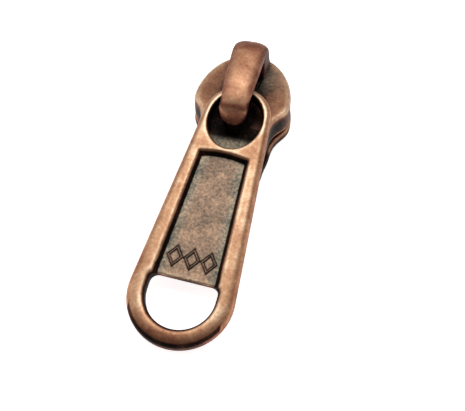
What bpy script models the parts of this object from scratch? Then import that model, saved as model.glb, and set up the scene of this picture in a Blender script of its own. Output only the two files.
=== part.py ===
"""Coil zipper slider with an automatic lock and a long pull tab.

Frame, in metres: +X across the slider, +Y towards its nose, +Z up.
The origin lies on the underside of the lower wing, midway across, on the line where the body is widest.
At rest the slider lies on its lower wing, and the far end of the pull tab lies on the same surface.
"""

from math import asin, cos, pi, radians, sin, sqrt, tan

import bmesh
import bpy
from mathutils import Euler, Matrix, Vector
from mathutils.geometry import interpolate_bezier

MM = 0.001

# Wings of the body
UPPER_WING = dict(widest=7.06, widest_y=0.5, waist=5.15, waist_y=-4.8, tail=5.0, tail_y=-9.6)
LOWER_WING = dict(widest=7.4, widest_y=1.0, waist=5.5, waist_y=-4.9, tail=5.1, tail_y=-10.2)
NOSE_Y = 10.3
LOWER_WING_TOP = 1.43
FLANGE_BOTTOM = 2.15
PLATE_BOTTOM = 4.4
PLATE_TOP = 5.85
TAIL_CORNER = 0.9
CASTING_EDGE = 0.45

# Chain channel, a Y that a wedge at the nose splits in two
CHANNEL_HALF = 3.95
MOUTH_Y = 3.2
WEDGE_TIP_Y = 0.8
WEDGE_HALF = 2.4
WEDGE_NOSE_Y = 10.1
WEDGE_NOSE_HALF = 1.7
WEDGE_TIP_HALF = 0.3
MOUTH_HALF = 7.0
TAIL_REST_GAP = 0.22

# Pull tab, measured along itself from the middle of its eye
TAB_THICKNESS = 2.0
TAB_SLOPE = radians(10.4)
TAB_TURN = radians(-2.4)
EYE_CENTRE = Vector((0.365, -4.3, 7.15))
EYE_END_RADIUS = 4.89
FAR_END_RADIUS = 6.99
END_TO_END = 27.29
EYE_HALF_LENGTH = 4.66
EYE_HALF_WIDTH = 3.78
EYE_OFFSET = 0.91
EYE_CHAMFER = 0.4
TAB_EDGE = 0.6
TAB_LEAN = asin((FAR_END_RADIUS - EYE_END_RADIUS) / END_TO_END)
RIM_AT_EYE = 1.7
RIM_AT_FAR_END = 2.26
RECESS_START = 6.69
RECESS_DEPTH = 0.8
RECESS_WALL_RUN = 0.7
WINDOW_START = 25.24
WINDOW_RADIUS = 4.58
WINDOW_CORNER = 1.1
RING_BAR_U = -4.32

# Crown, the arch that holds the pull tab
CROWN_HALF_BACK = 2.6
CROWN_HALF_FRONT = 2.05
CROWN_BACK_Y = 9.25
CROWN_FRONT_Y = -6.2
CROWN_SEAT_GAP = 0.05
ARCH_BACK_Y = 4.7
ARCH_FRONT_Y = -5.0
ARCH_TOP = 10.05
FRONT_TIP_TOP = 9.4
TONGUE_BOTTOM = 4.95
SOCKET_GAP = 0.06
FRONT_TONGUE_HALF = 0.8
FRONT_TONGUE_BACK_Y = -5.3
BACK_TONGUE_HALF = 0.9
BACK_TONGUE_BACK_Y = 8.4
BACK_TONGUE_FRONT_Y = 5.6
CREST_EDGE = 0.8
CREST_TOP = 12.2

# Lock pawl and its leaf spring, both inside the crown
PAWL_PIVOT = Vector((0.0, 5.7, 9.45))
PAWL_HALF = 0.9
PAWL_TOP = 9.75
PAWL_BOTTOM = 9.2
PAWL_EYE_RADIUS = 0.45
CLAW_BACK_Y = -3.15
CLAW_FRONT_Y = -3.95
CLAW_TIP_Z = 3.5
CLAW_SLOT_HALF = 1.12
CLAW_SLOT_FRONT_Y = -4.75
CLAW_SLOT_BACK_Y = -2.95
CAVITY_HALF = 1.1
CAVITY_TOP = 11.3
LEAF_HALF = 0.85
LEAF_THICKNESS = 0.2
LEAF_TOP = 11.2
LEAF_MIDDLE_Y = 1.8
LEAF_HALF_SPAN = 3.1
LEAF_RISE = 1.15


# ---------- outlines, in millimetres ----------

def bezier(start, start_handle, end_handle, end, pieces):
    """Points of one cubic, without its last point."""
    corners = [Vector((*corner, 0.0)) for corner in (start, start_handle, end_handle, end)]
    return [tuple(point[:2]) for point in interpolate_bezier(*corners, pieces + 1)[:-1]]


def arc(centre, radius, start, end, pieces):
    """Points of a circular or elliptical arc, both ends included; radius may be (along x, along y)."""
    along_x, along_y = radius if isinstance(radius, tuple) else (radius, radius)
    turns = [start + (end - start) * step / pieces for step in range(pieces + 1)]
    return [(centre[0] + along_x * cos(turn), centre[1] + along_y * sin(turn)) for turn in turns]


def mirrored(half):
    """A right-hand half outline, nose to tail, closed by its mirror image."""
    return half + [(-x, y) for x, y in reversed(half) if abs(x) > 1e-6]


def wing_outline(widest, widest_y, waist, waist_y, tail, tail_y):
    """An elliptical nose, round shoulders and a straight tail with round corners."""
    nose = arc((0.0, widest_y), (widest, NOSE_Y - widest_y), pi / 2, 0.0, 14)[:-1]
    shoulder = bezier((widest, widest_y), (widest, widest_y - 2.2), (waist, waist_y + 3.2), (waist, waist_y), 8)
    side = bezier((waist, waist_y), (waist, waist_y - 2), (tail, tail_y + 3), (tail, tail_y + TAIL_CORNER), 3)
    corner = arc((tail - TAIL_CORNER, tail_y + TAIL_CORNER), TAIL_CORNER, 0.0, -pi / 2, 4)
    return mirrored(nose + shoulder + side + corner)


def channel_outline():
    """The space between the flanges: straight from the tail to the waist, then out at the two mouths."""
    beyond = 14.0
    tail = [(CHANNEL_HALF, -beyond)]
    bend = (CHANNEL_HALF, LOWER_WING["waist_y"] + 0.3)
    branch = bezier(bend, (CHANNEL_HALF, -1.6), (MOUTH_HALF - 1, -1.0), (MOUTH_HALF, MOUTH_Y - 1.4), 6)
    mouth = [(MOUTH_HALF + 2, MOUTH_Y + 1.6), (beyond, MOUTH_Y + 1.6), (beyond, beyond)]
    return mirrored(list(reversed(tail + branch + mouth)))


def wedge_outline():
    """The guide post that parts the two rows of coils: pointed to the tail, blunt at the nose."""
    tip = (WEDGE_TIP_HALF, WEDGE_TIP_Y + WEDGE_TIP_HALF)
    blunt = [(0.0, WEDGE_NOSE_Y), (WEDGE_NOSE_HALF, WEDGE_NOSE_Y - 0.25), (WEDGE_HALF, WEDGE_NOSE_Y - 0.9)]
    side = bezier((WEDGE_HALF, 8.0), (WEDGE_HALF, 5.5), (1.0, 3.0), tip, 6)
    return mirrored(blunt + side + [tip, (0.0, WEDGE_TIP_Y)])


def crown_outline():
    """Side view of the crown, as (y, z): a tall head at the back, a long crest, a leg curling down in front."""
    seat = PLATE_TOP + CROWN_SEAT_GAP
    crest = (
        bezier((CROWN_BACK_Y, seat), (9.2, 7.6), (8.8, 9.2), (8.2, 10.2), 5)
        + bezier((8.2, 10.2), (7.3, 11.35), (5.7, CREST_TOP), (4.2, CREST_TOP), 6)
        + bezier((4.2, CREST_TOP), (2.4, CREST_TOP), (-0.3, 12.1), (-2.5, 11.7), 5)
        + bezier((-2.5, 11.7), (-4.7, 11.3), (CROWN_FRONT_Y, 10.5), (CROWN_FRONT_Y, 8.9), 7)
        + [(CROWN_FRONT_Y, 8.9), (CROWN_FRONT_Y, TONGUE_BOTTOM)]
    )
    arch = (
        [(FRONT_TONGUE_BACK_Y, TONGUE_BOTTOM), (FRONT_TONGUE_BACK_Y, FRONT_TIP_TOP - CROWN_HALF_FRONT)]
        + arc((ARCH_FRONT_Y + 0.25, ARCH_TOP - 0.25), 0.25, pi, pi / 2, 3)
        + arc((ARCH_BACK_Y - 0.9, ARCH_TOP - 0.9), 0.9, pi / 2, 0.0, 4)
        + [(ARCH_BACK_Y, seat)]
    )
    return crest + arch


def cavity_outline():
    """Side view of the hollow under the crown's roof, open towards the arch."""
    back_wall = [(6.35, 8.85), (6.35, 10.4), (5.2, CAVITY_TOP - 0.1)]
    roof = [(2.0, CAVITY_TOP), (-2.4, CAVITY_TOP - 0.3), (-3.6, 10.82), (-4.25, 10.3)]
    return back_wall + roof + [(-4.25, 8.0), (3.2, 8.0), (ARCH_BACK_Y, 8.85)]


def pawl_outline():
    """Side view of the pawl about its pivot: an eye, a beam over the ring bar, and a claw with a bevelled tip."""
    pivot = (PAWL_PIVOT.y, PAWL_PIVOT.z)
    eye = arc(pivot, PAWL_EYE_RADIUS, radians(-146), radians(138), 8)
    beam = [(CLAW_FRONT_Y + 0.5, PAWL_TOP), (CLAW_FRONT_Y + 0.12, PAWL_TOP - 0.15), (CLAW_FRONT_Y, PAWL_TOP - 0.5)]
    claw = [
        (CLAW_FRONT_Y, CLAW_TIP_Z + 0.9),
        (CLAW_FRONT_Y + 0.3, CLAW_TIP_Z),
        (CLAW_BACK_Y - 0.15, CLAW_TIP_Z),
        (CLAW_BACK_Y, CLAW_TIP_Z + 0.5),
        (CLAW_BACK_Y, PAWL_BOTTOM - 0.2),
        (CLAW_BACK_Y + 0.2, PAWL_BOTTOM),
    ]
    return [(y - pivot[0], z - pivot[1]) for y, z in eye + beam + claw]


def leaf_outline():
    """Side view of the bowed leaf spring, its middle against the roof and its ends on the pawl."""
    steps = [2 * step / 10 - 1 for step in range(11)]
    top = [(LEAF_MIDDLE_Y + LEAF_HALF_SPAN * s, LEAF_TOP - LEAF_RISE * s * s) for s in steps]
    return top + [(y, z - LEAF_THICKNESS) for y, z in reversed(top)]


def tab_side(u):
    """Half width of the tab's plan between its two round ends, at u from the middle of the eye."""
    return EYE_END_RADIUS / cos(TAB_LEAN) + u * tan(TAB_LEAN)


def tab_outline():
    """The tab's plan: a small round end about the eye and a large one about the window, joined by tangents."""
    eye_end = arc((0.0, 0.0), EYE_END_RADIUS, -pi / 2, -TAB_LEAN, 14)
    far_end = arc((0.0, END_TO_END), FAR_END_RADIUS, -TAB_LEAN, pi / 2, 18)
    return mirrored(eye_end + far_end)


def recess_outline(inset):
    """The tapered field between the eye and the window, drawn in from its rim by the inset."""
    stop = END_TO_END - 0.5
    start = RECESS_START + inset
    rim_growth = (RIM_AT_FAR_END - RIM_AT_EYE) / (WINDOW_START - RECESS_START)
    near = tab_side(start) - RIM_AT_EYE - inset
    far = tab_side(stop) - RIM_AT_EYE - rim_growth * (stop - RECESS_START) - inset
    return mirrored([(0.0, start - 0.45), (near / 2, start - 0.34), (near, start), (far, stop)])


def window_outline():
    """The opening at the far end: a half circle with a short straight run and two round corners."""
    corner = arc((WINDOW_RADIUS - WINDOW_CORNER, WINDOW_START + WINDOW_CORNER), WINDOW_CORNER, -pi / 2, 0.0, 4)
    return mirrored(corner + arc((0.0, END_TO_END), WINDOW_RADIUS, 0.0, pi / 2, 14))


# ---------- building ----------

def collection(name, hidden=False):
    """A collection in the scene; a hidden one holds cutters."""
    made = bpy.data.collections.new(name)
    made.hide_render = hidden
    bpy.context.scene.collection.children.link(made)
    return made


def material(name, color, roughness):
    """A metal finish."""
    made = bpy.data.materials.new(name)
    made.use_nodes = True
    shader = made.node_tree.nodes["Principled BSDF"]
    shader.inputs["Base Color"].default_value = (*color, 1.0)
    shader.inputs["Roughness"].default_value = roughness
    shader.inputs["Metallic"].default_value = 1.0
    return made


def flat_solid(name, outline, low, high, group, side_view=False):
    """An outline given thickness from low to high along Z, or along X where it is a side view of (y, z)."""
    curve = bpy.data.curves.new(name, "CURVE")
    curve.dimensions = "2D"
    curve.fill_mode = "BOTH"
    curve.extrude = (high - low) / 2 * MM
    spline = curve.splines.new("POLY")
    spline.points.add(len(outline) - 1)
    for point, (x, y) in zip(spline.points, outline):
        point.co = (x * MM, y * MM, 0.0, 1.0)
    spline.use_cyclic_u = True
    guide = bpy.data.objects.new(name + "_guide", curve)
    bpy.context.scene.collection.objects.link(guide)
    mesh = bpy.data.meshes.new_from_object(guide.evaluated_get(bpy.context.evaluated_depsgraph_get()))
    bpy.data.objects.remove(guide)
    mesh.name = name
    mesh.transform(Matrix.Translation((0.0, 0.0, (low + high) / 2 * MM)))
    if side_view:
        mesh.transform(Euler((pi / 2, 0.0, pi / 2)).to_matrix().to_4x4())
    solid = bmesh.new()
    solid.from_mesh(mesh)
    bmesh.ops.remove_doubles(solid, verts=solid.verts, dist=1e-7)
    bmesh.ops.dissolve_limit(solid, angle_limit=radians(0.5), verts=solid.verts, edges=solid.edges)
    bmesh.ops.recalc_face_normals(solid, faces=solid.faces)
    solid.to_mesh(mesh)
    solid.free()
    made = bpy.data.objects.new(name, mesh)
    group.objects.link(made)
    made.hide_render = group.hide_render
    made.display_type = "WIRE" if group.hide_render else "TEXTURED"
    return made


def block(name, low, high, group):
    """A rectangular block between two corners in millimetres."""
    solid = bmesh.new()
    bmesh.ops.create_cube(solid, size=1.0)
    for vert in solid.verts:
        vert.co = Vector([((a + b) / 2 + (b - a) * at) * MM for a, b, at in zip(low, high, vert.co)])
    mesh = bpy.data.meshes.new(name)
    solid.to_mesh(mesh)
    solid.free()
    made = bpy.data.objects.new(name, mesh)
    group.objects.link(made)
    made.hide_render = group.hide_render
    made.display_type = "WIRE"
    return made


def round_edges(solid_object, width, segments, chosen):
    """Rounds the sharp edges for which chosen(midpoint in millimetres) holds."""
    solid = bmesh.new()
    solid.from_mesh(solid_object.data)
    picked = []
    for edge in solid.edges:
        middle = (edge.verts[0].co + edge.verts[1].co) / (2 * MM)
        if len(edge.link_faces) == 2 and edge.calc_face_angle() > radians(35) and chosen(middle):
            picked.append(edge)
    bmesh.ops.bevel(
        solid, geom=picked, offset=width * MM, segments=segments, profile=0.5, affect="EDGES", clamp_overlap=True
    )
    solid.to_mesh(solid_object.data)
    solid.free()


def combine(target, other, operation):
    """Adds a Boolean modifier: UNION or DIFFERENCE with another closed solid."""
    modifier = target.modifiers.new(other.name, "BOOLEAN")
    modifier.operation = operation
    modifier.object = other


def cut(target, *cutters):
    """Takes each cutter away from the target."""
    for cutter in cutters:
        combine(target, cutter, "DIFFERENCE")


def finish(piece, metal):
    """Gives a piece its metal and its shading."""
    piece.data.materials.clear()
    piece.data.materials.append(metal)
    piece.data.shade_smooth()
    piece.data.set_sharp_from_angle(angle=radians(35))


def plate_height_under_tab(y):
    """Height of the tab's underside over the body at rest, where the tab lies across the tail."""
    underside = EYE_CENTRE.z - TAB_THICKNESS / 2 / cos(TAB_SLOPE)
    return underside + (y - EYE_CENTRE.y) * tan(TAB_SLOPE)


# ---------- pieces ----------

def make_slider_body(parts, cutters, metal):
    """Die casting: two wings joined at the nose by the wedge, with flanges that close the channel's sides."""
    body = flat_solid("slider_body", wing_outline(**UPPER_WING), FLANGE_BOTTOM, PLATE_TOP, parts)
    round_edges(body, CASTING_EDGE, 3, lambda middle: middle.z > PLATE_TOP - 0.1)
    lower = flat_solid("lower_wing", wing_outline(**LOWER_WING), 0.0, LOWER_WING_TOP, cutters)
    round_edges(lower, CASTING_EDGE, 2, lambda middle: True)
    wedge = flat_solid("wedge", wedge_outline(), LOWER_WING_TOP / 2, PLATE_BOTTOM + 0.7, cutters)
    channel = flat_solid("channel", channel_outline(), LOWER_WING_TOP - 0.4, PLATE_BOTTOM, cutters)
    slope = block("tail_slope", (-10, -12, 0), (10, 0, 4), cutters)
    slope.rotation_euler.x = TAB_SLOPE
    slope.location = (0.0, EYE_CENTRE.y * MM, (plate_height_under_tab(EYE_CENTRE.y) - TAIL_REST_GAP) * MM)
    above = PLATE_TOP + 1
    claw_slot = block(
        "claw_slot",
        (-CLAW_SLOT_HALF, CLAW_SLOT_FRONT_Y, PLATE_BOTTOM - 1),
        (CLAW_SLOT_HALF, CLAW_SLOT_BACK_Y, above),
        cutters,
    )
    back_socket = block(
        "back_socket",
        (-BACK_TONGUE_HALF - SOCKET_GAP, BACK_TONGUE_FRONT_Y - SOCKET_GAP, TONGUE_BOTTOM - SOCKET_GAP),
        (BACK_TONGUE_HALF + SOCKET_GAP, BACK_TONGUE_BACK_Y + SOCKET_GAP, above),
        cutters,
    )
    front_socket = block(
        "front_socket",
        (-FRONT_TONGUE_HALF - SOCKET_GAP, CROWN_FRONT_Y - SOCKET_GAP, TONGUE_BOTTOM - SOCKET_GAP),
        (FRONT_TONGUE_HALF + SOCKET_GAP, FRONT_TONGUE_BACK_Y + SOCKET_GAP, above),
        cutters,
    )
    cut(body, channel)
    combine(body, wedge, "UNION")
    combine(body, lower, "UNION")
    cut(body, slope, claw_slot, back_socket, front_socket)
    finish(body, metal)
    return body


def make_crown(parts, cutters, metal):
    """Arched cap: its two tongues sit in the body's sockets, and its hollow roof holds the pawl and the leaf."""
    half = CROWN_HALF_BACK
    crown = flat_solid("crown", crown_outline(), -half, half, parts, side_view=True)
    for vert in crown.data.vertices:
        along = (vert.co.y / MM - CROWN_FRONT_Y) / (CROWN_BACK_Y - CROWN_FRONT_Y)
        vert.co.x *= (CROWN_HALF_FRONT + (half - CROWN_HALF_FRONT) * along) / half
    seat = PLATE_TOP + CROWN_SEAT_GAP

    def on_crest(middle):
        outside = middle.z > ARCH_TOP + 0.1 or middle.y > ARCH_BACK_Y + 0.5 or middle.y < ARCH_FRONT_Y - 0.8
        return outside and middle.z > seat + 0.1 and abs(middle.x) > 1.5

    round_edges(crown, CREST_EDGE, 4, on_crest)
    back_tongue = block(
        "back_tongue",
        (-BACK_TONGUE_HALF, BACK_TONGUE_FRONT_Y, TONGUE_BOTTOM),
        (BACK_TONGUE_HALF, BACK_TONGUE_BACK_Y, seat + 0.5),
        cutters,
    )
    cavity = flat_solid("cavity", cavity_outline(), -CAVITY_HALF, CAVITY_HALF, cutters, side_view=True)
    combine(crown, back_tongue, "UNION")
    cut(crown, cavity)
    for side in (-1, 1):
        radius = CROWN_HALF_FRONT
        sweep = arc((0.0, FRONT_TIP_TOP), radius, 0.0, -asin(sqrt(1 - (FRONT_TONGUE_HALF / radius) ** 2)), 8)
        rest = [(FRONT_TONGUE_HALF, TONGUE_BOTTOM - 1), (4.0, TONGUE_BOTTOM - 1), (4.0, FRONT_TIP_TOP)]
        outline = [(side * x, z) for x, z in sweep + rest]
        trimmer = flat_solid(f"tip_trimmer_{'left' if side < 0 else 'right'}", outline, -1.5, 1.5, cutters)
        place = Matrix.Translation((0, (CROWN_FRONT_Y - 0.25) * MM, 0))
        trimmer.data.transform(place @ Matrix.Rotation(pi / 2, 4, "X"))
        cut(crown, trimmer)
    finish(crown, metal)
    return crown


def make_lock_pawl(parts, metal):
    """Stamped lever: it turns on its eye at the back of the crown, and its claw drops between the coils."""
    pawl = flat_solid("lock_pawl", pawl_outline(), -PAWL_HALF, PAWL_HALF, parts, side_view=True)
    pivot = bpy.data.objects.new("pawl_pivot", None)
    pivot.location = PAWL_PIVOT * MM
    parts.objects.link(pivot)
    pawl.parent = pivot
    finish(pawl, metal)
    return pawl


def make_leaf_spring(parts, metal):
    """Bowed strip of spring steel between the crown's roof and the pawl."""
    leaf = flat_solid("leaf_spring", leaf_outline(), -LEAF_HALF, LEAF_HALF, parts, side_view=True)
    finish(leaf, metal)
    return leaf


def eye_chamfer(name, face, cutters):
    """An oval frustum that breaks the eye's edge on the face at the given height, above or below the middle."""
    reach = 0.2
    flare = (EYE_CHAMFER + reach) / EYE_HALF_WIDTH
    solid = bmesh.new()
    bmesh.ops.create_cone(
        solid, cap_ends=True, segments=36, radius1=1.0, radius2=1.0 + flare, depth=EYE_CHAMFER + reach
    )
    if face < 0:
        bmesh.ops.rotate(solid, matrix=Matrix.Rotation(pi, 3, "X"), verts=solid.verts)
    middle = face + (reach - EYE_CHAMFER) / 2 * (1 if face > 0 else -1)
    for vert in solid.verts:
        x, y, z = vert.co
        vert.co = Vector((x * EYE_HALF_WIDTH, EYE_OFFSET + y * EYE_HALF_LENGTH, middle + z)) * MM
    mesh = bpy.data.meshes.new(name)
    solid.to_mesh(mesh)
    solid.free()
    made = bpy.data.objects.new(name, mesh)
    cutters.objects.link(made)
    made.hide_render = True
    made.display_type = "WIRE"
    return made


def make_pull_tab(parts, cutters, metal):
    """Die-cast tab, modelled lying along +Y with the middle of its ring bar at the origin."""
    half = TAB_THICKNESS / 2
    tab = flat_solid("pull_tab", tab_outline(), -half, half, parts)
    round_edges(tab, TAB_EDGE, 3, lambda middle: True)
    oval = arc((0.0, EYE_OFFSET), (EYE_HALF_WIDTH, EYE_HALF_LENGTH), 0.0, 2 * pi, 36)[:-1]
    eye = flat_solid("eye_cutter", oval, -2, 2, cutters)
    window = flat_solid("window_cutter", window_outline(), -2, 2, cutters)
    above = 0.4
    recess = flat_solid("recess_cutter", recess_outline(0.0), half - RECESS_DEPTH, half + above, cutters)
    floor = recess_outline(RECESS_WALL_RUN)
    rim = recess_outline(0.0)
    slant = (RECESS_DEPTH + above) / RECESS_DEPTH
    for vert in recess.data.vertices:
        at = min(range(len(rim)), key=lambda i: (Vector(rim[i]) * MM - vert.co.xy).length)
        edge, foot = Vector(rim[at]), Vector(floor[at])
        vert.co.xy = (foot if vert.co.z < half * MM else foot + (edge - foot) * slant) * MM
    front_chamfer = eye_chamfer("eye_chamfer_front", half, cutters)
    back_chamfer = eye_chamfer("eye_chamfer_back", -half, cutters)
    shapes = [eye, window, recess, front_chamfer, back_chamfer]
    cut(tab, *shapes)
    for piece in (tab, *shapes):
        piece.data.transform(Matrix.Translation((0, -RING_BAR_U * MM, 0)))
    pivot = bpy.data.objects.new("pull_pivot", None)
    frame = Euler((-TAB_SLOPE, 0.0, pi + TAB_TURN)).to_matrix()
    pivot.location = (EYE_CENTRE + frame @ Vector((0, RING_BAR_U, 0))) * MM
    pivot.rotation_euler = (-TAB_SLOPE, 0.0, pi + TAB_TURN)
    parts.objects.link(pivot)
    for piece in (tab, *shapes):
        piece.parent = pivot
    finish(tab, metal)
    return tab


for leftover in list(bpy.data.objects):
    bpy.data.objects.remove(leftover)

slider = collection("zipper_slider")
helpers = collection("cutters", hidden=True)
copper = material("antique_copper", (0.62, 0.36, 0.22), 0.38)
spring_steel = material("spring_steel", (0.42, 0.36, 0.31), 0.35)

make_slider_body(slider, helpers, copper)
make_crown(slider, helpers, copper)
make_lock_pawl(slider, spring_steel)
make_leaf_spring(slider, spring_steel)
make_pull_tab(slider, helpers, copper)
bpy.context.view_layer.update()
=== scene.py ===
"""An antique-copper zipper slider: cast body, crown, lock pawl, leaf spring and a long pull tab."""

from math import asin, cos, pi, radians, sin, sqrt, tan

import bmesh
import bpy
import numpy as np
from mathutils import Euler, Matrix, Vector
from mathutils.geometry import interpolate_bezier


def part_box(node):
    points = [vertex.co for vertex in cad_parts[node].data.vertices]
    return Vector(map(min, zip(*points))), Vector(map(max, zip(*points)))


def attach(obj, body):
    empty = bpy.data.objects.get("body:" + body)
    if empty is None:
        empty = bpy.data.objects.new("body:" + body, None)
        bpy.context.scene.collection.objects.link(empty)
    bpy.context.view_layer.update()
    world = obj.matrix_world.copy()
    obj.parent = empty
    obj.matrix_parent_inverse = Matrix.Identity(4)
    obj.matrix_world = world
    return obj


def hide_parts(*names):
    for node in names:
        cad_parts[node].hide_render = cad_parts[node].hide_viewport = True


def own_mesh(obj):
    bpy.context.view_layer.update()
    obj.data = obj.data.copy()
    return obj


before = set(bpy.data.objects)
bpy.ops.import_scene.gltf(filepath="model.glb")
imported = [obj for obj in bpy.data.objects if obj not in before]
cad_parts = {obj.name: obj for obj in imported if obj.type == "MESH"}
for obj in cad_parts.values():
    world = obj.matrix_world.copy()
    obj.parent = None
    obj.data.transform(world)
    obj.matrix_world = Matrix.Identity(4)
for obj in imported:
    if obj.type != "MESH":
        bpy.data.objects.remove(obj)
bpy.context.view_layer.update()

# ---------- studio ----------
# The slider lies on a lit white table under one broad soft box overhead, inside a pale tent that is
# darker behind the camera. The camera looks down on it from the tail, a hand's width away.

MM = 0.001
LOOK_AT = Vector((2.56, -16.6, 3.0)) * MM
CAMERA_PLACE = Vector((15.16, -70.62, 81.17)) * MM
CAMERA_LENS = 54.2
TABLE_GLOW = 0.85

camera_data = bpy.data.cameras.new("camera")
camera_data.lens = CAMERA_LENS
camera_data.sensor_width = 36.0
camera_data.clip_start = 1 * MM
camera_data.clip_end = 10.0
camera = bpy.data.objects.new("camera", camera_data)
camera.location = CAMERA_PLACE
camera.rotation_euler = (LOOK_AT - CAMERA_PLACE).to_track_quat("-Z", "Y").to_euler()
bpy.context.scene.collection.objects.link(camera)
bpy.context.scene.camera = camera


def soft_box(name, place, size, power, towards=(0.0, -12.0, 3.0)):
    """A square area light, with its place and size in millimetres, aimed at a point on the slider."""
    data = bpy.data.lights.new(name, "AREA")
    data.shape = "RECTANGLE"
    data.size, data.size_y = size[0] * MM, size[1] * MM
    data.energy = power
    light = bpy.data.objects.new(name, data)
    light.location = Vector(place) * MM
    aim = Vector(towards) * MM - light.location
    light.rotation_euler = aim.to_track_quat("-Z", "Y").to_euler()
    bpy.context.scene.collection.objects.link(light)


soft_box("overhead", (-15, 56, 220), (230, 120), 0.24)
soft_box("left_wall", (-220, -30, 110), (160, 140), 0.08)
soft_box("right_wall", (220, -20, 90), (120, 140), 0.05)

tent = bpy.data.worlds.new("tent")
tent.use_nodes = True
tent_nodes, tent_links = tent.node_tree.nodes, tent.node_tree.links
direction = tent_nodes.new("ShaderNodeTexCoord")
towards_tail = tent_nodes.new("ShaderNodeVectorMath")
towards_tail.operation = "DOT_PRODUCT"
towards_tail.inputs[1].default_value = (0.0, -0.86, 0.5)
tent_shade = tent_nodes.new("ShaderNodeValToRGB")
tent_shade.color_ramp.elements[0].position = 0.0
tent_shade.color_ramp.elements[0].color = (0.31, 0.31, 0.31, 1.0)
tent_shade.color_ramp.elements[1].position = 0.9
tent_shade.color_ramp.elements[1].color = (0.025, 0.024, 0.023, 1.0)
tent_links.new(direction.outputs["Generated"], towards_tail.inputs[0])
tent_links.new(towards_tail.outputs["Value"], tent_shade.inputs["Fac"])
tent_links.new(tent_shade.outputs["Color"], tent_nodes["Background"].inputs["Color"])
tent_nodes["Background"].inputs["Strength"].default_value = 1.0
bpy.context.scene.world = tent
bpy.context.scene.view_settings.view_transform = "Standard"

bpy.ops.mesh.primitive_plane_add(size=4.0, location=(0.0, 0.0, 0.0))
table = bpy.context.object
table.name = "table_top"
table_paint = bpy.data.materials.new("table_top")
table_paint.use_nodes = True
table_shader = table_paint.node_tree.nodes["Principled BSDF"]
table_shader.inputs["Base Color"].default_value = (0.92, 0.92, 0.92, 1.0)
table_shader.inputs["Roughness"].default_value = 0.7
table_shader.inputs["Emission Color"].default_value = (1.0, 1.0, 1.0, 1.0)
table_shader.inputs["Emission Strength"].default_value = TABLE_GLOW
table.data.materials.append(table_paint)

# ---------- body casting ----------
# Die-cast zinc, copper plated, blackened and then tumbled so that the copper shows again on what
# stands proud. Two wings are joined at the nose by a wedge, and flanges close the chain channel.
# It is made in millimetres: outlines are given thickness, joined and cut, then softened as one skin.

UPPER_WING = dict(widest=7.18, widest_y=0.5, waist=5.15, waist_y=-4.8, tail=5.0, tail_y=-9.6)
LOWER_WING = dict(widest=7.4, widest_y=1.0, waist=5.5, waist_y=-4.9, tail=5.1, tail_y=-10.2)
NOSE_Y = 10.3
TAIL_CORNER = 0.9
LOWER_WING_TOP = 1.43
FLANGE_BOTTOM = 2.15
PLATE_BOTTOM = 4.4
PLATE_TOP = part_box("slider_body")[1][2] / MM
CHANNEL_HALF = 3.95
MOUTH_HALF = 7.0
MOUTH_Y = 3.2
WEDGE_HALF = 2.4
WEDGE_TIP = (0.3, 1.1)
TAB_SLOPE = radians(10.4)
TAB_TURN = radians(-2.4)
TAB_THICKNESS = 2.0
EYE_CENTRE = Vector((0.365, -4.3, 7.15))
TAIL_REST_GAP = 0.22
PIN_MARK_RADIUS = 0.8
PIN_MARK_DEPTH = 0.12
BODY_VOXEL = 0.125
BODY_SOFTENING = 7


def bezier(start, start_handle, end_handle, end, pieces):
    """Points of one cubic, without its last point."""
    corners = [Vector((*corner, 0.0)) for corner in (start, start_handle, end_handle, end)]
    return [tuple(point[:2]) for point in interpolate_bezier(*corners, pieces + 1)[:-1]]


def arc(centre, radius, start, end, pieces):
    """Points of a circular or elliptical arc, both ends included; radius may be (along x, along y)."""
    along_x, along_y = radius if isinstance(radius, tuple) else (radius, radius)
    turns = [start + (end - start) * step / pieces for step in range(pieces + 1)]
    return [(centre[0] + along_x * cos(turn), centre[1] + along_y * sin(turn)) for turn in turns]


def mirrored(half):
    """A right-hand half outline closed by its mirror image."""
    return half + [(-x, y) for x, y in reversed(half) if abs(x) > 1e-6]


def evenly(outline, spacing=0.22):
    """A closed outline walked at even steps, as an array of (x, y), counter-clockwise."""
    corners = np.array(outline + outline[:1])
    run = np.concatenate([[0.0], np.cumsum(np.linalg.norm(np.diff(corners, axis=0), axis=1))])
    stops = np.linspace(0.0, run[-1], int(run[-1] / spacing), endpoint=False)
    walked = np.column_stack([np.interp(stops, run, corners[:, axis]) for axis in (0, 1)])
    ahead = np.roll(walked, -1, axis=0)
    clockwise = (walked[:, 0] * ahead[:, 1] - walked[:, 1] * ahead[:, 0]).sum() < 0
    return walked[::-1] if clockwise else walked


def loft(name, rings):
    """A closed solid through rings of (x, y, z) points, all with the same number of points."""
    count = len(rings[0])
    shape = bmesh.new()
    verts = [[shape.verts.new(point) for point in ring] for ring in rings]
    for low, high in zip(verts, verts[1:]):
        for at in range(count):
            following = (at + 1) % count
            shape.faces.new((low[at], low[following], high[following], high[at]))
    shape.faces.new(list(reversed(verts[0])))
    shape.faces.new(verts[-1])
    mesh = bpy.data.meshes.new(name)
    shape.to_mesh(mesh)
    shape.free()
    made = bpy.data.objects.new(name, mesh)
    bpy.context.scene.collection.objects.link(made)
    return made


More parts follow.
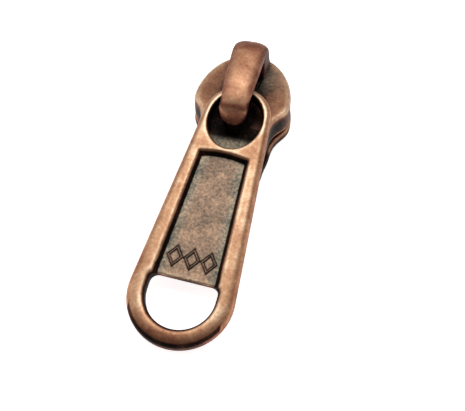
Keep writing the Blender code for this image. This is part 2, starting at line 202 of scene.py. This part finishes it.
def slab(name, outline, low, high, low_edge=0.0, high_edge=0.0, reach=1.0, hole=False, give=1.0):
    """An outline with thickness and round rims; a hole's rims flare outwards and run on past both faces.

    reach stretches a rim's rounding along the thickness, and give scales it from point to point.
    """
    walked = evenly(outline)
    along = np.roll(walked, -1, axis=0) - np.roll(walked, 1, axis=0)
    away = np.column_stack([along[:, 1], -along[:, 0]])
    away /= np.linalg.norm(away, axis=1)[:, None]
    side = away * (1.0 if hole else -1.0) * np.reshape(give(walked) if callable(give) else give, (-1, 1))
    turns = [pi / 2 * step / 7 for step in range(8)]
    low_reach, high_reach = low_edge * reach, high_edge * reach
    levels = [(low + low_reach * (1 - sin(turn)), low_edge * (1 - cos(turn))) for turn in reversed(turns)]
    levels += [(high - high_reach * (1 - sin(turn)), high_edge * (1 - cos(turn))) for turn in turns]
    if hole:
        levels = [(low - 1.0, low_edge)] + levels + [(high + 1.0, high_edge)]
    rings = []
    for height, shift in levels:
        if not rings or height > rings[-1][0, 2] + 1e-4:
            ring = walked + side * shift
            rings.append(np.column_stack([ring, np.full(len(ring), height)]))
    return loft(name, rings)


def block(name, low, high):
    """A rectangular block between two corners."""
    (x0, y0, z0), (x1, y1, z1) = low, high
    square = [(x0, y0), (x1, y0), (x1, y1), (x0, y1)]
    return loft(name, [[(x, y, z0) for x, y in square], [(x, y, z1) for x, y in square]])


def skinned(blank, voxel):
    """Gives a solid one even skin."""
    skin = blank.modifiers.new("skin", "REMESH")
    skin.mode = "VOXEL"
    skin.voxel_size = voxel


def cast(name, blank, steps, voxel, softening):
    """One skin out of a blank and the (operation, solid) steps worked on it, its corners softened."""
    for operation, other in steps:
        step = blank.modifiers.new(other.name, "BOOLEAN")
        step.operation = operation
        step.object = other
    skinned(blank, voxel)
    soften = blank.modifiers.new("soften", "SMOOTH")
    soften.factor = 0.5
    soften.iterations = softening
    bpy.context.view_layer.update()
    mesh = bpy.data.meshes.new_from_object(blank.evaluated_get(bpy.context.evaluated_depsgraph_get()))
    mesh.name = name
    for helper in [blank] + [other for _, other in steps]:
        bpy.data.objects.remove(helper)
    made = bpy.data.objects.new(name, mesh)
    bpy.context.scene.collection.objects.link(made)
    return made


def relief(mesh):
    """Each point's place and normal, and how far it stands proud of the skin close by and farther round."""
    count = len(mesh.vertices)
    place = np.empty(count * 3)
    mesh.vertices.foreach_get("co", place)
    place = place.reshape(-1, 3)
    normal = np.empty(count * 3)
    mesh.vertex_normals.foreach_get("vector", normal)
    normal = normal.reshape(-1, 3)
    ends = np.empty(len(mesh.edges) * 2, np.int32)
    mesh.edges.foreach_get("vertices", ends)
    one, other = ends.reshape(-1, 2).T
    neighbours = (np.bincount(one, minlength=count) + np.bincount(other, minlength=count))[:, None]

    def relaxed(points, rounds):
        for _ in range(rounds):
            sums = [
                np.bincount(one, points[other, axis], count) + np.bincount(other, points[one, axis], count)
                for axis in range(3)
            ]
            points = 0.5 * points + 0.5 * np.column_stack(sums) / neighbours
        return points

    near = relaxed(place, 14)
    far = relaxed(near, 110)
    return place, normal, ((place - near) * normal).sum(axis=1), ((place - far) * normal).sum(axis=1)


def wash(mesh, name, values):
    """Stores a value from 0 to 1 for each point, for the metal to read."""
    layer = mesh.attributes.new(name, "FLOAT", "POINT")
    layer.data.foreach_set("value", np.clip(values, 0.0, 1.0).astype(np.float32))


def step_up(values, start, end):
    """0 before start, 1 after end, smooth in between."""
    share = np.clip((values - start) / (end - start), 0.0, 1.0)
    return share * share * (3 - 2 * share)


def antique_copper(name, rubbed, bright, dull, dark):
    """Plated copper under a dark wash.

    The points' rubbing value says where it is rubbed bright and where painted shade darkens it, and their
    'patina' where it is grey-green.
    """
    made = bpy.data.materials.new(name)
    made.use_nodes = True
    tree = made.node_tree
    shader = tree.nodes["Principled BSDF"]

    def node(kind, **settings):
        added = tree.nodes.new("ShaderNode" + kind)
        for key, value in settings.items():
            setattr(added, key, value)
        return added

    def noise(scale, detail, roughness, coordinates):
        added = node("TexNoise")
        added.inputs["Scale"].default_value = scale
        added.inputs["Detail"].default_value = detail
        added.inputs["Roughness"].default_value = roughness
        tree.links.new(coordinates, added.inputs["Vector"])
        return added.outputs["Fac"]

    def maths(operation, first, second):
        added = node("Math", operation=operation)
        for socket, value in zip(added.inputs, (first, second)):
            if isinstance(value, (int, float)):
                socket.default_value = value
            else:
                tree.links.new(value, socket)
        return added.outputs[0]

    def ramp(fac, stops):
        added = node("ValToRGB")
        elements = added.color_ramp.elements
        while len(elements) < len(stops):
            elements.new(0.5)
        for element, (position, color) in zip(elements, stops):
            element.position = position
            element.color = (*color, 1.0)
        tree.links.new(fac, added.inputs["Fac"])
        return added.outputs["Color"]

    def mixed(share, first, second):
        added = node("Mix", data_type="RGBA")
        colour_sockets = (added.inputs[0], added.inputs[6], added.inputs[7])
        for socket, value in zip(colour_sockets, (share, first, second)):
            tree.links.new(value, socket)
        return added.outputs[2]

    place = node("TexCoord").outputs["Object"]
    brushed = node("Mapping")
    brushed.inputs["Scale"].default_value = (1.0, 0.16, 1.0)
    tree.links.new(place, brushed.inputs["Vector"])
    cloud = noise(420.0, 4.0, 0.6, place)
    speck = noise(2600.0, 3.0, 0.6, place)
    scratch = noise(5200.0, 2.0, 0.5, brushed.outputs["Vector"])
    wear_and_shade = node("Attribute", attribute_name="wear_and_shade").outputs["Fac"]
    patina = node("Attribute", attribute_name="patina").outputs["Fac"]

    shown = maths("ADD", wear_and_shade, maths("MULTIPLY", maths("SUBTRACT", cloud, 0.5), 0.55))
    shown = maths("ADD", shown, maths("MULTIPLY", maths("SUBTRACT", speck, 0.5), 0.35))
    # The ramp's near-black end shows the blackening and the deepest painted shade.
    black_and_shade = (0.012, 0.010, 0.009)
    copper = ramp(shown, [(0.0, black_and_shade), (0.28, dark), (0.56, dull), (0.80, bright), (1.0, rubbed)])
    mottle = maths("ADD", maths("MULTIPLY", speck, 0.65), maths("MULTIPLY", cloud, 0.35))
    green = ramp(mottle, [(0.36, (0.24, 0.24, 0.195)), (0.5, (0.50, 0.455, 0.35)), (0.62, (0.86, 0.66, 0.46))])
    tree.links.new(mixed(patina, copper, green), shader.inputs["Base Color"])
    rough = maths("SUBTRACT", 0.62, maths("MULTIPLY", shown, 0.20))
    rough = maths("ADD", rough, maths("MULTIPLY", scratch, 0.10))
    tree.links.new(maths("ADD", rough, maths("MULTIPLY", patina, 0.12)), shader.inputs["Roughness"])
    shader.inputs["Metallic"].default_value = 1.0
    bump = node("Bump")
    bump.inputs["Strength"].default_value = 0.25
    bump.inputs["Distance"].default_value = 0.03 * MM
    height = maths("ADD", maths("MULTIPLY", speck, 0.8), maths("MULTIPLY", scratch, 0.35))
    tree.links.new(height, bump.inputs["Height"])
    tree.links.new(bump.outputs["Normal"], shader.inputs["Normal"])
    return made


def wing_outline(widest, widest_y, waist, waist_y, tail, tail_y):
    """An elliptical nose, round shoulders and a straight tail with round corners."""
    nose = arc((0.0, widest_y), (widest, NOSE_Y - widest_y), pi / 2, 0.0, 40)[:-1]
    narrowest = (waist, waist_y)
    shoulder = bezier((widest, widest_y), (widest, widest_y - 2.2), (waist, waist_y + 3.2), narrowest, 24)
    side = bezier(narrowest, (waist, waist_y - 2), (tail, tail_y + 3), (tail, tail_y + TAIL_CORNER), 10)
    corner = arc((tail - TAIL_CORNER, tail_y + TAIL_CORNER), TAIL_CORNER, 0.0, -pi / 2, 8)
    return mirrored(nose + shoulder + side + corner)


beyond = 14.0
branch = bezier(
    (CHANNEL_HALF, -4.6), (CHANNEL_HALF, -1.6), (MOUTH_HALF - 1, -1.0), (MOUTH_HALF, MOUTH_Y - 1.4), 16
)
mouth = [(MOUTH_HALF + 2, MOUTH_Y + 1.6), (beyond, MOUTH_Y + 1.6), (beyond, beyond)]
channel_outline = mirrored(list(reversed([(CHANNEL_HALF, -beyond)] + branch + mouth)))
blunt = [(0.0, 10.1), (1.7, 9.85), (WEDGE_HALF, 9.2)]
wedge_side = bezier((WEDGE_HALF, 8.0), (WEDGE_HALF, 5.5), (1.0, 3.0), WEDGE_TIP, 16)
wedge_outline = mirrored(blunt + wedge_side + [WEDGE_TIP, (0.0, WEDGE_TIP[1] - 0.3)])

upper_wing = slab("upper_wing", wing_outline(**UPPER_WING), FLANGE_BOTTOM, PLATE_TOP, 0.3, 0.65)
lower_wing = slab("lower_wing", wing_outline(**LOWER_WING), 0.0, LOWER_WING_TOP, 0.45, 0.45)
tail_slope = block("tail_slope", (-10, -12, 0), (10, 0, 4))
tail_slope.rotation_euler.x = TAB_SLOPE
tab_underside = EYE_CENTRE.z - TAB_THICKNESS / 2 / cos(TAB_SLOPE)
tail_slope.location = (0.0, EYE_CENTRE.y, tab_underside - TAIL_REST_GAP)
pin_marks = []
for name, x, y in (("left", -3.6, 1.5), ("right", 3.6, 1.5), ("tail", 0.0, -7.4)):
    pin_outline = arc((x, y), PIN_MARK_RADIUS, 0.0, 2 * pi, 40)[:-1]
    pin_marks.append(("DIFFERENCE", slab(f"pin_mark_{name}", pin_outline, -1.0, PIN_MARK_DEPTH)))
slider_casting = cast(
    "slider_casting",
    upper_wing,
    [
        ("DIFFERENCE", slab("channel", channel_outline, LOWER_WING_TOP - 0.4, PLATE_BOTTOM)),
        ("UNION", slab("wedge", wedge_outline, LOWER_WING_TOP / 2, PLATE_BOTTOM + 0.7)),
        ("UNION", lower_wing),
        ("DIFFERENCE", tail_slope),
        ("DIFFERENCE", block("claw_slot", (-1.12, -4.75, 3.4), (1.12, -2.95, 7.0))),
        ("DIFFERENCE", block("back_socket", (-0.96, 5.54, 4.89), (0.96, 8.46, 7.0))),
        ("DIFFERENCE", block("front_socket", (-0.86, -6.26, 4.89), (0.86, -5.24, 7.0))),
        *pin_marks,
    ],
    voxel=BODY_VOXEL,
    softening=BODY_SOFTENING,
)
place, normal, near, far = relief(slider_casting.data)
x, y, z = place.T
up = normal[:, 2]
outwards = x * normal[:, 0] + np.maximum(y, 0.0) * normal[:, 1]
# Masks of painted shade: the plate under the pull tab, the tail that lies below the tab, and the plate beside
# and under the crown, which the crown also keeps from the tumbling. The chain channel is darker inside.
inside = step_up(z, 1.2, 1.5) * step_up(-z, -4.55, -4.3) * (1 - step_up(outwards, 0.0, 1.5))
shade_under_tab = step_up(-y, 1.6, 3.6) * step_up(z, 4.2, 5.0) * step_up(-np.abs(x), -4.9, -4.0)
shade_under_tab *= 1 - 0.55 * step_up(x, 1.6, 3.0)
tail_shade = step_up(-y, 4.4, 6.0)
crown_foot = np.hypot(np.maximum(np.abs(x) - 2.3, 0.0), np.maximum(np.maximum(4.9 - y, y - 8.8), 0.0))
crown_shade_and_unworn = np.exp(-np.maximum(np.abs(x) - 2.1, 0.0) / 0.75) * step_up(z, 5.0, 5.6) * step_up(y, -4.0, -2.0)
# Rubbed bright where the skin stands proud; painted shade on faces that turn away from the overhead light, in
# the masks above, and on the lower wing under the upper wing's flange.
wear_and_shade = 0.50 + 3.0 * near + 2.0 * far - 0.46 * step_up(-up, -0.85, -0.15)
wear_and_shade -= 0.5 * inside + 0.8 * shade_under_tab + 0.85 * tail_shade + 0.72 * crown_shade_and_unworn
wear_and_shade -= 0.38 * (1 - step_up(z, 1.4, 2.4))
wash(slider_casting.data, "wear_and_shade", wear_and_shade)
right_cheek = step_up(x - 0.25 * y, -0.5, 2.0) * step_up(y, 0.5, 4.0) * step_up(up, 0.6, 0.9)
patina = 0.55 * right_cheek * np.exp(-crown_foot / 2.2) + 0.9 * shade_under_tab * step_up(-y, 6.6, 7.8)
wash(slider_casting.data, "patina", patina)
body_copper = antique_copper(
    "body_copper",
    rubbed=(0.86, 0.60, 0.42),
    bright=(0.60, 0.34, 0.20),
    dull=(0.39, 0.19, 0.112),
    dark=(0.12, 0.055, 0.038),
)
slider_casting.data.transform(Matrix.Scale(MM, 4))
slider_casting.data.materials.append(body_copper)
slider_casting.data.shade_smooth()
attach(slider_casting, "slider")
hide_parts("slider_body")

# ---------- crown ----------
# The arch that holds the pull tab: the same casting metal, seated by two tongues in the body's
# sockets. It rises from a broad head at the nose and curls down in front into a rounded tip.

CROWN_HALF_BACK = 2.6
CROWN_HALF_FRONT = 2.05
CROWN_BACK_Y = 9.25
CROWN_FRONT_Y = -6.2
CREST_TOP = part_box("crown")[1][2] / MM
ARCH_BACK_Y = 4.7
ARCH_FRONT_BEND = 2.2
ARCH_TOP = 10.05
FRONT_TIP_TOP = 10.4
FRONT_TIP_BOTTOM = 7.1
TONGUE_HALF = 0.8
TONGUE_BACK_Y = -5.3
TONGUE_BOTTOM = 4.95
CAVITY_HALF = 1.1
CROWN_VOXEL = 0.085
CROWN_SOFTENING = 42

seat = PLATE_TOP + 0.05
crest = (
    bezier((CROWN_BACK_Y, seat), (9.2, 7.6), (8.8, 9.2), (8.2, 10.2), 20)
    + bezier((8.2, 10.2), (7.3, 11.35), (5.7, CREST_TOP), (4.2, CREST_TOP), 20)
    + bezier((4.2, CREST_TOP), (2.0, CREST_TOP), (-0.6, 12.1), (-2.6, 11.5), 20)
    + bezier((-2.6, 11.5), (-4.7, 10.87), (CROWN_FRONT_Y, 10.0), (CROWN_FRONT_Y, 8.0), 24)
    + [(CROWN_FRONT_Y, 8.0), (CROWN_FRONT_Y, TONGUE_BOTTOM)]
)
arch = (
    [(TONGUE_BACK_Y, TONGUE_BOTTOM), (TONGUE_BACK_Y, FRONT_TIP_BOTTOM)]
    + arc((TONGUE_BACK_Y + ARCH_FRONT_BEND, ARCH_TOP - ARCH_FRONT_BEND), ARCH_FRONT_BEND, pi, pi / 2, 16)
    + arc((ARCH_BACK_Y - 0.9, ARCH_TOP - 0.9), 0.9, pi / 2, 0.0, 10)
    + [(ARCH_BACK_Y, seat)]
)


def crest_only(points):
    """The share of the crest's rounding at each point of the side view: less where the wall is thin."""
    y, z = points.T
    inner = (y < ARCH_BACK_Y + 0.1) & (y > -5.5) & (z < ARCH_TOP + 0.1)
    wall = np.linalg.norm(points[:, None] - points[None, inner], axis=2).min(axis=1)
    foot = 1 - 0.75 * step_up(-z, -(seat + 1.6), -(seat + 0.4))
    return np.where(inner, 0.12, np.minimum(np.minimum(0.74 * wall, 1.05), foot))


crown_blank = slab(
    "crown_blank", crest + arch, -CROWN_HALF_BACK, CROWN_HALF_BACK, 1.0, 1.0, reach=2.1, give=crest_only
)
for vert in crown_blank.data.vertices:
    across, vert.co.y, vert.co.z = vert.co.z, vert.co.x, vert.co.y
    along = (vert.co.y - CROWN_FRONT_Y) / (CROWN_BACK_Y - CROWN_FRONT_Y)
    width = CROWN_HALF_FRONT + (CROWN_HALF_BACK - CROWN_HALF_FRONT) * along
    drop = (FRONT_TIP_TOP - vert.co.z) / (FRONT_TIP_TOP - FRONT_TIP_BOTTOM)
    if drop > 0 and vert.co.y < 0:
        width = max(TONGUE_HALF, CROWN_HALF_FRONT * sqrt(max(0.0, 1 - drop**3.5)))
    vert.co.x = across * width / CROWN_HALF_BACK
skinned(crown_blank, 0.09)
cavity = slab(
    "cavity",
    [(6.35, 8.85), (6.35, 10.4), (5.2, 11.2), (2.0, 11.3), (-2.4, 11.0), (-3.6, 10.82), (-4.25, 10.3),
     (-4.25, 8.0), (3.2, 8.0), (ARCH_BACK_Y, 8.85)],
    -CAVITY_HALF,
    CAVITY_HALF,
)
cavity.data.transform(Euler((pi / 2, 0.0, pi / 2)).to_matrix().to_4x4())
crown_casting = cast(
    "crown_casting",
    crown_blank,
    [
        ("UNION", block("back_tongue", (-0.9, 5.6, TONGUE_BOTTOM), (0.9, 8.4, seat + 0.5))),
        ("DIFFERENCE", cavity),
    ],
    voxel=CROWN_VOXEL,
    softening=CROWN_SOFTENING,
)
place, normal, near, far = relief(crown_casting.data)
x, y, z = place.T
# Rubbed bright where it stands proud. Painted shade: the arch's underside, the sides, the head, the front leg
# low down and the tongue deep in the eye are darker; the tongue is also dark patina.
inner = step_up(-z, -10.6, -10.0) * step_up(y, -5.6, -5.0) * step_up(-y, -5.2, -4.6)
wear_and_shade = 0.69 + 0.9 * near + 0.8 * far - 0.34 * step_up(np.abs(normal[:, 0]), 0.3, 0.95)
wear_and_shade -= 0.32 * step_up(-z, -10.8, -8.4) * step_up(-y, 3.5, 4.5) + 0.18 * step_up(y, 1.5, 6.0)
wear_and_shade -= 0.5 * inner + 0.9 * step_up(-z, -7.6, -7.2) * step_up(-y, 4.0, 5.0)
wash(crown_casting.data, "wear_and_shade", wear_and_shade)
wash(crown_casting.data, "patina", np.zeros(len(place)))
crown_copper = antique_copper(
    "crown_copper",
    rubbed=(0.96, 0.72, 0.52),
    bright=(0.70, 0.39, 0.23),
    dull=(0.42, 0.17, 0.10),
    dark=(0.13, 0.042, 0.032),
)
crown_casting.data.transform(Matrix.Scale(MM, 4))
crown_casting.data.materials.append(crown_copper)
crown_casting.data.shade_smooth()
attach(crown_casting, "slider")
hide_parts("crown")

# ---------- pull tab ----------
# A separate casting with a round eye that hangs on the crown and a larger window at the far end.
# A smooth bead runs round it, and the field between eye and window is sunk and left grey.

EYE_END_RADIUS = 4.89
FAR_END_RADIUS = 6.99
END_TO_END = 27.29
TAB_LEAN = asin((FAR_END_RADIUS - EYE_END_RADIUS) / END_TO_END)
EYE_HALF_LENGTH = 4.66
EYE_HALF_WIDTH = 3.78
EYE_OFFSET = 0.91
RIM_AT_EYE = 1.7
RIM_AT_FAR_END = 2.26
RECESS_START = 6.69
RECESS_DEPTH = 0.8
RECESS_WALL_RUN = 0.7
WINDOW_START = 25.24
WINDOW_RADIUS = 4.58
WINDOW_CORNER = 1.1
TAB_VOXEL = 0.112
TAB_SOFTENING = 7
LOZENGE_U = 22.4
LOZENGE_PITCH = 2.3
LOZENGE_HALF_WIDTH = 0.9
LOZENGE_HALF_LENGTH = 1.25


def tab_side(u):
    """Half width of the tab's plan between its two round ends, at u from the middle of the eye."""
    return EYE_END_RADIUS / cos(TAB_LEAN) + u * tan(TAB_LEAN)


def field_outline(inset):
    """The tapered field between eye and window, drawn in from its rim by the inset."""
    start, stop = RECESS_START + inset, END_TO_END - 0.5
    growth = (RIM_AT_FAR_END - RIM_AT_EYE) / (WINDOW_START - RECESS_START)
    near_half = tab_side(start) - RIM_AT_EYE - inset
    far_half = tab_side(stop) - RIM_AT_EYE - growth * (stop - RECESS_START) - inset
    corner = (near_half, start)
    middle, rounding = (0.0, start - 0.45), (near_half * 0.8, start - 0.2)
    top = bezier(middle, (near_half * 0.5, start - 0.42), rounding, corner, 10)
    return mirrored(top + [corner, (far_half, stop)])


def bead_width(points):
    """The share of the bead's full rounding at each point of the tab's edge: most about the window."""
    return 0.72 + 0.28 * step_up(points[:, 1], 14.0, END_TO_END)


half = TAB_THICKNESS / 2
tab_outline = mirrored(
    arc((0.0, 0.0), EYE_END_RADIUS, -pi / 2, -TAB_LEAN, 50)
    + arc((0.0, END_TO_END), FAR_END_RADIUS, -TAB_LEAN, pi / 2, 60)
)
corner_centre = (WINDOW_RADIUS - WINDOW_CORNER, WINDOW_START + WINDOW_CORNER)
window_side = arc(corner_centre, WINDOW_CORNER, -pi / 2, 0.0, 10)
window_outline = mirrored(window_side + arc((0.0, END_TO_END), WINDOW_RADIUS, 0.0, pi / 2, 40))
eye_outline = arc((0.0, EYE_OFFSET), (EYE_HALF_WIDTH, EYE_HALF_LENGTH), 0.0, 2 * pi, 120)[:-1]
wall_steps = [(0.0, 0.0), (0.35, 0.30), (0.75, 0.68), (0.9, 0.86), (1.0, 1.08), (1.6, 1.4)]


def tapered(floor_line, rim_line, share):
    """The outline a given share of the way up the field's wall."""
    pairs = zip(floor_line, rim_line)
    return [(fx + (rx - fx) * share, fy + (ry - fy) * share) for (fx, fy), (rx, ry) in pairs]


floor_line, rim_line = field_outline(RECESS_WALL_RUN), field_outline(0.0)
rings = []
for rise, share in wall_steps:
    walked = tapered(floor_line, rim_line, share)
    height = half - RECESS_DEPTH + RECESS_DEPTH * rise
    rings.append([(x, y, height) for x, y in walked])
field_cutter = loft("field", rings)
pull_casting = cast(
    "pull_casting",
    slab("tab_blank", tab_outline, -half, half, 0.6, 1.5, reach=0.64, give=bead_width),
    [
        ("DIFFERENCE", field_cutter),
        ("DIFFERENCE", slab("eye", eye_outline, -half, half, 0.4, 0.5, hole=True)),
        ("DIFFERENCE", slab("window", window_outline, -half, half, 0.4, 0.7, hole=True)),
    ],
    voxel=TAB_VOXEL,
    softening=TAB_SOFTENING,
)
place, normal, near, far = relief(pull_casting.data)
x, u, z = place.T
up = normal[:, 2]
in_field = step_up(-z, -0.42, -0.26) * step_up(up, 0.85, 0.95) * step_up(u, 5.0, 6.0)
field_edge = in_field * step_up(np.abs(x) / (tab_side(u) - 2.6), 0.55, 1.0)
lozenge = np.full(len(place), 9.0)
for across in (-1, 0, 1):
    sideways = np.abs(x - across * LOZENGE_PITCH) / LOZENGE_HALF_WIDTH
    reach = sideways + np.abs(u - LOZENGE_U) / LOZENGE_HALF_LENGTH
    lozenge = np.minimum(lozenge, np.abs(reach - 1.0))
carved = in_field * step_up(lozenge, 0.03, 0.10) * (1 - step_up(lozenge, 0.26, 0.42))
wall = step_up(up, 0.2, 0.6) * (1 - step_up(up, 0.8, 0.95)) * step_up(-z, -0.85, -0.6) * step_up(z, 0.1, 0.3)
wall *= step_up(u, 5.6, 6.2) * (np.abs(x) < tab_side(u) - 1.2)
wear_and_shade = 0.66 + (0.9 + 1.4 * step_up(u, 4.0, 8.0)) * near + 1.6 * far
# Painted shade on the bead's sloping and downturned faces, over the far end, and on the inner walls of the eye
# and the window.
wear_and_shade -= 0.20 * step_up(-up, -0.985, -0.82) + 0.16 * step_up(-up, -0.8, -0.1)
wear_and_shade -= 0.30 * step_up(u, END_TO_END + 2.5, END_TO_END + 6.5)
for centre_u, reach in ((END_TO_END, WINDOW_RADIUS + 0.9), (EYE_OFFSET, EYE_HALF_LENGTH + 0.4)):
    away = np.hypot(x, u - centre_u) + 1e-6
    facing_in = -(x * normal[:, 0] + (u - centre_u) * normal[:, 1]) / away
    wear_and_shade -= 0.45 * step_up(facing_in, 0.3, 0.85) * (away < reach)
wear_and_shade -= 0.5 * wall + 0.15 * in_field + 0.8 * carved
wash(pull_casting.data, "wear_and_shade", wear_and_shade)
wash(pull_casting.data, "patina", in_field * (0.5 + 0.45 * field_edge) * (1 - carved))
pull_copper = antique_copper(
    "pull_copper",
    rubbed=(0.96, 0.72, 0.50),
    bright=(0.68, 0.39, 0.225),
    dull=(0.40, 0.17, 0.095),
    dark=(0.12, 0.045, 0.030),
)
tab_place = Matrix.Translation(EYE_CENTRE) @ Euler((-TAB_SLOPE, 0.0, pi + TAB_TURN)).to_matrix().to_4x4()
pull_casting.data.transform(Matrix.Scale(MM, 4) @ tab_place)
pull_casting.data.materials.append(pull_copper)
pull_casting.data.shade_smooth()
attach(pull_casting, "pull")
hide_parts("pull_tab")

# ---------- mark ----------
# A row of three plain lozenges stands up a hair from the sunk field near the window, cast with the
# tab. One lozenge is a bead swept round a kite, and the row repeats it.

LOZENGE_COUNT = 3
LOZENGE_BEAD = 0.11
LOZENGE_POLISH = 0.42
LOZENGE_PATINA = 0.35

row_tree = bpy.data.node_groups.new("lozenge_row", "GeometryNodeTree")
row_tree.interface.new_socket("Geometry", in_out="OUTPUT", socket_type="NodeSocketGeometry")
row_inputs = {}
for label, kind, value in (
    ("Count", "NodeSocketInt", LOZENGE_COUNT),
    ("Pitch", "NodeSocketFloat", LOZENGE_PITCH),
    ("Width", "NodeSocketFloat", 2 * LOZENGE_HALF_WIDTH),
    ("Half length", "NodeSocketFloat", LOZENGE_HALF_LENGTH),
    ("Bead", "NodeSocketFloat", LOZENGE_BEAD),
    ("Metal", "NodeSocketMaterial", pull_copper),
):
    socket = row_tree.interface.new_socket(label, in_out="INPUT", socket_type=kind)
    row_inputs[socket.identifier] = value
given = row_tree.nodes.new("NodeGroupInput")
shown = row_tree.nodes.new("NodeGroupOutput")
step = row_tree.nodes.new("ShaderNodeCombineXYZ")
line = row_tree.nodes.new("GeometryNodeMeshLine")
kite = row_tree.nodes.new("GeometryNodeCurvePrimitiveQuadrilateral")
kite.mode = "KITE"
bead = row_tree.nodes.new("GeometryNodeCurvePrimitiveCircle")
bead.inputs["Resolution"].default_value = 10
sweep = row_tree.nodes.new("GeometryNodeCurveToMesh")
repeat = row_tree.nodes.new("GeometryNodeInstanceOnPoints")
realize = row_tree.nodes.new("GeometryNodeRealizeInstances")
painted = row_tree.nodes.new("GeometryNodeSetMaterial")
for source, target in (
    (given.outputs["Pitch"], step.inputs["X"]),
    (step.outputs["Vector"], line.inputs["Offset"]),
    (given.outputs["Count"], line.inputs["Count"]),
    (given.outputs["Width"], kite.inputs["Width"]),
    (given.outputs["Half length"], kite.inputs["Bottom Height"]),
    (given.outputs["Half length"], kite.inputs["Top Height"]),
    (given.outputs["Bead"], bead.inputs["Radius"]),
    (kite.outputs["Curve"], sweep.inputs["Curve"]),
    (bead.outputs["Curve"], sweep.inputs["Profile Curve"]),
    (line.outputs["Mesh"], repeat.inputs["Points"]),
    (sweep.outputs["Mesh"], repeat.inputs["Instance"]),
    (repeat.outputs["Instances"], realize.inputs["Geometry"]),
    (realize.outputs["Geometry"], painted.inputs["Geometry"]),
    (given.outputs["Metal"], painted.inputs["Material"]),
    (painted.outputs["Geometry"], shown.inputs["Geometry"]),
):
    row_tree.links.new(source, target)
row_maker = bpy.data.objects.new("row_maker", bpy.data.meshes.new("row_maker"))
bpy.context.scene.collection.objects.link(row_maker)
rows = row_maker.modifiers.new("row", "NODES")
rows.node_group = row_tree
for identifier, value in row_inputs.items():
    rows[identifier] = value
bpy.context.view_layer.update()
row_mesh = bpy.data.meshes.new_from_object(row_maker.evaluated_get(bpy.context.evaluated_depsgraph_get()))
bpy.data.objects.remove(row_maker)
field_height = half - RECESS_DEPTH
row_start = Matrix.Translation((-LOZENGE_PITCH * (LOZENGE_COUNT - 1) / 2, LOZENGE_U, field_height))
row_mesh.transform(Matrix.Scale(MM, 4) @ tab_place @ row_start)
wash(row_mesh, "wear_and_shade", np.full(len(row_mesh.vertices), LOZENGE_POLISH))
wash(row_mesh, "patina", np.full(len(row_mesh.vertices), LOZENGE_PATINA))
lozenge_row = bpy.data.objects.new("lozenge_row", row_mesh)
bpy.context.scene.collection.objects.link(lozenge_row)
row_mesh.shade_smooth()
row_mesh.set_sharp_from_angle(angle=radians(50))
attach(lozenge_row, "pull")

# ---------- lock pawl ----------
# Stamped steel, darkened with the rest: it turns on its own eye inside the crown's head.


def stamped(node, name, edge):
    """A copy of a stamped CAD part with its edges broken."""
    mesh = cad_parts[node].data.copy()
    mesh.name = name
    shape = bmesh.new()
    shape.from_mesh(mesh)
    bmesh.ops.remove_doubles(shape, verts=shape.verts, dist=1e-6)
    bmesh.ops.dissolve_limit(shape, angle_limit=radians(1), verts=shape.verts, edges=shape.edges)
    sharp = [e for e in shape.edges if len(e.link_faces) == 2 and e.calc_face_angle() > radians(50)]
    bmesh.ops.bevel(
        shape, geom=sharp, offset=edge * MM, segments=3, profile=0.5, affect="EDGES", clamp_overlap=True
    )
    shape.to_mesh(mesh)
    shape.free()
    made = bpy.data.objects.new(name, mesh)
    bpy.context.scene.collection.objects.link(made)
    mesh.shade_smooth()
    mesh.set_sharp_from_angle(angle=radians(40))
    return made


def spring_steel(name, color, grain):
    """Rolled strip: fine lines along its length, dull from the darkening bath."""
    made = bpy.data.materials.new(name)
    made.use_nodes = True
    tree = made.node_tree
    shader = tree.nodes["Principled BSDF"]
    place = tree.nodes.new("ShaderNodeTexCoord")
    stretched = tree.nodes.new("ShaderNodeMapping")
    stretched.inputs["Scale"].default_value = (1.0, 0.05, 0.05)
    lines = tree.nodes.new("ShaderNodeTexNoise")
    lines.inputs["Scale"].default_value = grain
    shades = tree.nodes.new("ShaderNodeValToRGB")
    shades.color_ramp.elements[0].color = (*[c * 0.55 for c in color], 1.0)
    shades.color_ramp.elements[1].color = (*color, 1.0)
    rough = tree.nodes.new("ShaderNodeMapRange")
    rough.inputs["To Min"].default_value = 0.3
    rough.inputs["To Max"].default_value = 0.5
    tree.links.new(place.outputs["Object"], stretched.inputs["Vector"])
    tree.links.new(stretched.outputs["Vector"], lines.inputs["Vector"])
    tree.links.new(lines.outputs["Fac"], shades.inputs["Fac"])
    tree.links.new(lines.outputs["Fac"], rough.inputs["Value"])
    tree.links.new(shades.outputs["Color"], shader.inputs["Base Color"])
    tree.links.new(rough.outputs["Result"], shader.inputs["Roughness"])
    shader.inputs["Metallic"].default_value = 1.0
    return made


pawl_lever = stamped("lock_pawl", "pawl_lever", 0.12)
pawl_lever.data.materials.append(spring_steel("pawl_steel", (0.11, 0.09, 0.08), 9000.0))
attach(pawl_lever, "pawl")
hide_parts("lock_pawl")

# ---------- leaf spring ----------
# A bowed strip of blued spring steel between the crown's roof and the pawl. It flattens as the pawl lifts;
# here it keeps the shape of its CAD part.

leaf_strip = stamped("leaf_spring", "leaf_strip", 0.05)
leaf_strip.data.materials.append(spring_steel("leaf_steel", (0.16, 0.15, 0.15), 12000.0))
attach(leaf_strip, "slider")
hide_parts("leaf_spring")
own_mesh(leaf_strip)
